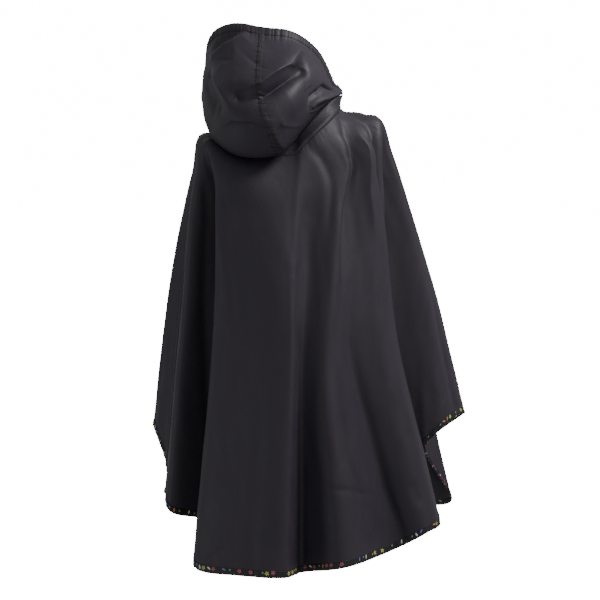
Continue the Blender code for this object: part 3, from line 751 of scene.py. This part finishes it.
def stitches(name, cloth, lines):
    # One short round-ended thread for each stitch: a five-sided tube of four rings, thinner at its
    # ends, laid along lines of (u, drop, lift) and evenly spaced
    look = threadLook
    sections = np.array([0.0, 0.2, 0.8, 1.0]) - 0.5
    thickness = np.array([0.35, 1.0, 1.0, 0.35])
    angles = np.arange(5) * 2 * np.pi / 5
    points, count = [], 0
    for u, drop, lift in lines:
        run = runLength(cloth.at(u, drop))
        at = np.arange(look["pitch"], run[-1] - look["pitch"], look["pitch"])
        stitchU, stitchDrop = np.interp(at, run, u), np.interp(at, run, drop)
        ahead = np.interp(at + dropStep, run, u), np.interp(at + dropStep, run, drop)
        centre = onCloth(cloth, stitchU, stitchDrop, lift)
        forward = onCloth(cloth, *ahead, lift) - centre
        forward /= np.linalg.norm(forward, axis=-1, keepdims=True)
        up = outward(cloth, stitchU, stitchDrop)
        side = np.cross(forward, up)
        side /= np.linalg.norm(side, axis=-1, keepdims=True)
        up = np.cross(side, forward)
        ringCentre = centre[:, None] + forward[:, None] * (sections * look["length"])[:, None]
        spoke = side[:, None] * np.cos(angles)[:, None] + up[:, None] * np.sin(angles)[:, None]
        size = look["radius"] * thickness
        points.append((ringCentre[:, :, None] + spoke[:, None] * size[:, None, None]).reshape(-1, 3))
        count += len(at)
    ring, side5 = np.arange(3)[:, None] * 5, np.arange(5)
    next5 = (side5 + 1) % 5
    tube = np.stack([ring + side5, ring + next5, ring + 5 + next5, ring + 5 + side5], axis=-1)
    ends = np.array([[4, 3, 2, 1, 0], [15, 16, 17, 18, 19]])
    firsts = np.arange(count)[:, None, None] * 20
    quads = (tube.reshape(1, -1, 4) + firsts).reshape(-1, 4).tolist()
    caps = (ends[None] + firsts).reshape(-1, 5).tolist()
    mesh = bpy.data.meshes.new(name)
    mesh.from_pydata(np.concatenate(points).tolist(), [], quads + caps)
    mesh.shade_smooth()
    mesh.materials.append(threadFinish)
    piece = addObject(name, mesh)
    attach(piece, "root")
    return piece


# The body's two panels

panels = {
    "wall": 0.0008, "rows": 172, "columns": 252,
    "backFlat": (1.57, 0.98), "backArea": 0.90,
    "frontFlat": (1.76, 1.10), "frontArea": 0.91,
}


def clothPanel(name, cloth, first, last, gap, top, size):
    # The finished cloth from one gap after the first place to the other before the last, on rows
    # at even shares of the way down from its top
    share = np.linspace(0, 1, size["rows"])[:, None]
    length = lengthAt(cloth, np.linspace(first, last, size["columns"]))
    middle = (share * length).mean(axis=1)
    start, end = np.full(len(share), float(first)), np.full(len(share), float(last))
    start += gap[0] / acrossScale(cloth, start, middle)
    end -= gap[1] / acrossScale(cloth, end, middle)
    u = start[:, None] + (end - start)[:, None] * np.linspace(0, 1, size["columns"])
    drop = top + share * (lengthAt(cloth, u) - top)
    grid = onCloth(cloth, u, drop, 0)
    return thicken(gridMesh(name, grid, flatMeasure(grid, drop), shellCloth), size["wall"])


halfGap = cut["seamGap"] / 2
bodyGaps = (halfGap, halfGap)
backPanel = clothPanel("cloth_back", bodyCloth, leftSeam, rightSeam, bodyGaps, halfGap, panels)
frontPanel = clothPanel("cloth_front", bodyCloth, rightSeam, roundBody, bodyGaps, halfGap, panels)
print("body panels made")


# Strips and bands

bands = {
    "wall": 0.0005,
    # across a flat-felled seam: how far from its middle, and how far it stands off the panel
    "seamProfile": [(-1.0, 0.3), (-0.93, 0.9), (-0.80, 0.6), (-0.65, 1.1), (0.0, 1.3),
                    (0.65, 1.1), (0.80, 0.6), (0.93, 0.9), (1.0, 0.3)],
    "stitchPlace": 0.80, "stitchLift": 0.00085,
    "sideRows": 360, "hoodRows": 150, "columns": 25,
    # metres: clear of the neckband, and tucked under the hem binding and under the casing
    "clear": 0.003, "underBinding": 0.002, "underCasing": 0.001,
    "leftFlat": (0.018, 0.84), "rightFlat": (0.018, 0.80), "hoodFlat": (0.012, 0.35),
}


def seamStrip(name, cloth, seam, width, topDrop, bottomDrop, rows):
    # A strip centred on the seam: columns at set distances from it, standing off by the profile.
    # Its stitching runs down both sides.
    place, lift = np.array(bands["seamProfile"]).T
    fine = np.linspace(-1, 1, bands["columns"])
    seamU = np.full((rows, 1), float(seam))
    drop = topDrop + np.linspace(0, 1, rows)[:, None] * (bottomDrop - topDrop)
    scale = acrossScale(cloth, seamU, drop)
    u = seamU + fine * (width / 2) / scale
    lines = [((seamU + side * bands["stitchPlace"] * (width / 2) / scale)[:, 0], drop[:, 0],
              bands["stitchLift"]) for side in (-1, 1)]
    drop = np.tile(drop, (1, len(fine)))
    grid = onCloth(cloth, u, drop, np.interp(fine, place, lift) / 1000)
    return thicken(gridMesh(name, grid, flatMeasure(grid, drop), stripCloth), bands["wall"]), lines


def sideStrip(name, seam):
    # The strip of a side seam, from clear of the neckband to under the hem binding
    bottom = lengthAt(bodyCloth, np.array([float(seam)]))[0] - cut["bindingWidth"] + bands["underBinding"]
    return seamStrip(name, bodyCloth, seam, cut["sideSeamWidth"], bands["clear"], bottom, bands["sideRows"])


seamLeft, leftLines = sideStrip("seam_side_left", leftSeam)
seamRight, rightLines = sideStrip("seam_side_right", rightSeam)
hoodFoot = lengthAt(hoodCloth, np.array([float(hoodCentre)]))[0] - bands["clear"]
seamHood, hoodLines = seamStrip("seam_hood", hoodCloth, hoodCentre, cut["hoodSeamWidth"],
                                cut["casingWidth"] - bands["underCasing"], hoodFoot, bands["hoodRows"])

# Hem binding: folded over the edge, from the stitching outside, round the edge, to the inside.
# Each row is metres up from the edge and how far it stands off the panel's outer face, in mm.
hemBinding = {
    "profile": [(0.0150, 0.30), (0.0146, 0.80), (0.0132, 0.75), (0.0100, 1.0), (0.0050, 1.1),
                (0.0008, 0.95), (-0.0007, 0.1), (-0.0008, -0.9), (0.0008, -1.7), (0.0050, -1.9),
                (0.0100, -1.8), (0.0140, -1.5)],
    "columns": 500, "rows": 12, "wall": 0.0004, "stitchUp": 0.0132, "stitchLift": 0.00095,
    "backFlat": (1.57, 0.032), "frontFlat": (1.76, 0.032),
}


def alongEdge(cloth, u, edge, inwards, profile, rows):
    # A profile carried along an edge, on even steps of it: each row is so far up from the edge
    # into the cloth and so far off it. The flat measure runs along the edge and round the profile.
    up, lift = np.array(profile).T
    places, fine = np.arange(len(up)), np.linspace(0, len(up) - 1, rows)
    up, lift = np.interp(fine, places, up), np.interp(fine, places, lift) / 1000
    drop = edge - inwards * up[:, None]
    grid = onCloth(cloth, np.tile(u, (rows, 1)), drop, lift[:, None])
    around = runLength(np.stack([up, lift], axis=-1))
    flat = np.stack(np.broadcast_arrays(runLength(cloth.at(u, edge)), around[:, None]), axis=-1)
    return grid, flat, drop


def hemStrip(name, first, last):
    # The binding's profile along the hem, and the line of its stitching
    u = np.linspace(first, last, hemBinding["columns"])
    edge = lengthAt(bodyCloth, u)
    grid, flat, _ = alongEdge(bodyCloth, u, edge, 1, hemBinding["profile"], hemBinding["rows"])
    line = (u, edge - hemBinding["stitchUp"], hemBinding["stitchLift"])
    return thicken(gridMesh(name, grid, flat, printCloth), hemBinding["wall"]), line


bindingBack, backLine = hemStrip("binding_back", leftSeam, rightSeam)
bindingFront, frontLine = hemStrip("binding_front", rightSeam, roundBody)

# Neckband: a doubled band standing round the neck, its lower edge rolled over the panels
neckband = {
    # metres up from the neckline, and mm off the smooth band
    "profile": [(0.0298, -0.6), (0.0292, 0.3), (0.0265, 0.7), (0.0180, 0.5), (0.0110, 1.0),
                (0.0060, 2.1), (0.0025, 2.2), (-0.0005, 1.3), (-0.0020, 0.2)],
    "columns": 520, "rows": 33, "wall": 0.0008, "stitchUp": 0.0035, "stitchLift": 0.00235,
    "stitchPlaces": 500, "flat": (0.70, 0.036),
}
bandU = np.arange(neckband["columns"]) * roundBody / neckband["columns"]
bandGrid, _, bandDrop = alongEdge(bodyCloth, bandU, 0 * bandU, 1, neckband["profile"], neckband["rows"])
bandFlat = flatMeasure(bandGrid, bandDrop, closed=True)
bandNeck = thicken(gridMesh("band_neck", bandGrid, bandFlat, stripCloth, closed=True), neckband["wall"])


# The hood's two halves and the casing round the face

hood = {
    "wall": 0.0008, "rows": 160, "columns": 205, "top": 0.001,
    "leftFlat": (0.47, 0.42), "leftArea": 0.110,
    "rightFlat": (0.47, 0.37), "rightArea": 0.066,
}
casing = {
    # a flattened tube: metres in from the rim, and mm off the panel
    "profile": [(0.0205, 0.25), (0.0200, 0.8), (0.0185, 0.6), (0.0150, 1.1), (0.0100, 1.5),
                (0.0050, 1.5), (0.0010, 1.0), (-0.0008, -0.4), (0.0010, -1.8), (0.0060, -2.6),
                (0.0120, -2.5), (0.0180, -1.6), (0.0200, -1.2)],
    "columns": 420, "rows": 25, "wall": 0.0005, "stitchIn": 0.0185, "stitchLift": 0.0009,
    "flat": (0.86, 0.044),
}
hoodLeft = clothPanel("cloth_hood_left", hoodCloth, 0, hoodCentre, (0, halfGap), hood["top"], hood)
hoodRight = clothPanel("cloth_hood_right", hoodCloth, hoodCentre, lastRib, (halfGap, 0), hood["top"], hood)
rimU = np.linspace(0, lastRib, casing["columns"])
rimGrid, rimFlat, _ = alongEdge(hoodCloth, rimU, 0 * rimU, -1, casing["profile"], casing["rows"])
casingFace = thicken(gridMesh("casing_face", rimGrid, rimFlat, stripCloth), casing["wall"], 1)
print("hood made")

# Sewing
neckU = np.linspace(0, roundBody, neckband["stitchPlaces"])
neckLine = (neckU, np.full(neckU.shape, -neckband["stitchUp"]), neckband["stitchLift"])
rimLine = (rimU, np.full(rimU.shape, casing["stitchIn"]), casing["stitchLift"])
sewLeft = stitches("stitches_side_left", bodyCloth, leftLines)
sewRight = stitches("stitches_side_right", bodyCloth, rightLines)
sewHood = stitches("stitches_hood", hoodCloth, hoodLines)
sewHem = stitches("stitches_hem", bodyCloth, [backLine, frontLine])
sewCasing = stitches("stitches_casing", hoodCloth, [rimLine])
sewNeck = stitches("stitches_neckband", bodyCloth, [neckLine])
print("sewing made")

dress(backPanel, "back_panel")
dress(frontPanel, "front_panel")
dress(seamLeft, "side_seam_left")
dress(seamRight, "side_seam_right")
dress(bindingBack, "hem_binding_back")
dress(bindingFront, "hem_binding_front")
dress(bandNeck, "neckband")
dress(hoodLeft, "hood_left")
dress(hoodRight, "hood_right")
dress(seamHood, "hood_seam")
dress(casingFace, "hood_casing")


# Floor, light and camera

studio = {
    "floorZ": -1.45, "floorSize": 60.0, "floorColour": "#f4f4f4", "floorGlow": 16.0,
    "tentRadius": 8.0, "tentGlow": 0.35,
    # azimuth and elevation from the wearer's back, distance, size and power of each soft light
    "lights": [
        ("key", (242, 50), 3.4, 1.4, 112),
        ("frontFill", (20, 35), 3.6, 2.4, 6),
        ("leftRim", (104, -14), 3.4, 1.2, 13),
    ],
    "target": (0.0, 0.0, -0.40),
}


def backVector(azimuth, elevation):
    # Unit vector from the object to a viewer; azimuth 0 looks along +Y and 90 along -X
    a, e = np.radians(azimuth), np.radians(elevation)
    return Vector((np.sin(a) * np.cos(e), -np.cos(a) * np.cos(e), np.sin(e)))


def pointAt(thing, back, target, distance):
    # Places a light or the camera at a distance behind the target and turns it to look there
    thing.location = Vector(target) + back * distance
    thing.rotation_euler = (-back).to_track_quat("-Z", "Y").to_euler()


def glowing(name, roughness, colour, strength):
    # A finish that gives off white light
    finish, _, shader = newMaterial(name, roughness)
    shader.inputs["Base Color"].default_value = colour
    shader.inputs["Emission Color"].default_value = (1, 1, 1, 1)
    shader.inputs["Emission Strength"].default_value = strength
    return finish


floorX, floorY = np.array([[-1, 1], [-1, 1]]), np.array([[1, 1], [-1, -1]])
floorGrid = np.stack([floorX * studio["floorSize"] / 2, floorY * studio["floorSize"] / 2,
                      np.full((2, 2), studio["floorZ"])], axis=-1)
floorFinish = glowing("matte_white_floor", 0.9, hexColour(studio["floorColour"]), studio["floorGlow"])
floor = gridMesh("floor", floorGrid, floorGrid[..., :2], floorFinish)
floor.visible_diffuse = False
floor.visible_glossy = False

for name, (azimuth, elevation), distance, size, power in studio["lights"]:
    light = bpy.data.lights.new(name, "AREA")
    light.shape, light.size, light.energy = "DISK", size, power
    lamp = addObject(name, light)
    pointAt(lamp, backVector(azimuth, elevation), studio["target"], distance)
    lamp.visible_camera = False

# A light tent all round, seen by the cloth and not by the camera: it fills the shadows evenly
turn, rise = np.meshgrid(np.linspace(0, 2 * np.pi, 33), np.linspace(-np.pi / 2, np.pi / 2, 17))
tentGrid = studio["tentRadius"] * np.stack(
    [np.cos(rise) * np.cos(turn), np.cos(rise) * np.sin(turn), np.sin(rise)], axis=-1)
tentFinish = glowing("tent_glow", 1.0, (0, 0, 0, 1), studio["tentGlow"])
tent = gridMesh("tent", tentGrid, tentGrid[..., :2], tentFinish)
tent.visible_camera = False

world = bpy.data.worlds.new("white_room")
bpy.context.scene.world = world
world.use_nodes = True
world.node_tree.nodes["Background"].inputs["Color"].default_value = (1, 1, 1, 1)
world.node_tree.nodes["Background"].inputs["Strength"].default_value = studio["floorGlow"]
world.cycles_visibility.diffuse = False
world.cycles_visibility.glossy = False

camera = {
    "azimuth": 168, "elevation": 12, "distance": 3.19, "lens": 85,
    "aim": (0.0, 0.0, -0.437), "shift": 10 / 600,
}
cameraData = bpy.data.cameras.new("camera")
cameraData.lens = camera["lens"]
cameraData.sensor_width = 36
cameraData.shift_x = camera["shift"]
cameraObject = addObject("camera", cameraData)
pointAt(cameraObject, backVector(camera["azimuth"], camera["elevation"]), camera["aim"], camera["distance"])
bpy.context.scene.camera = cameraObject
print("studio made")
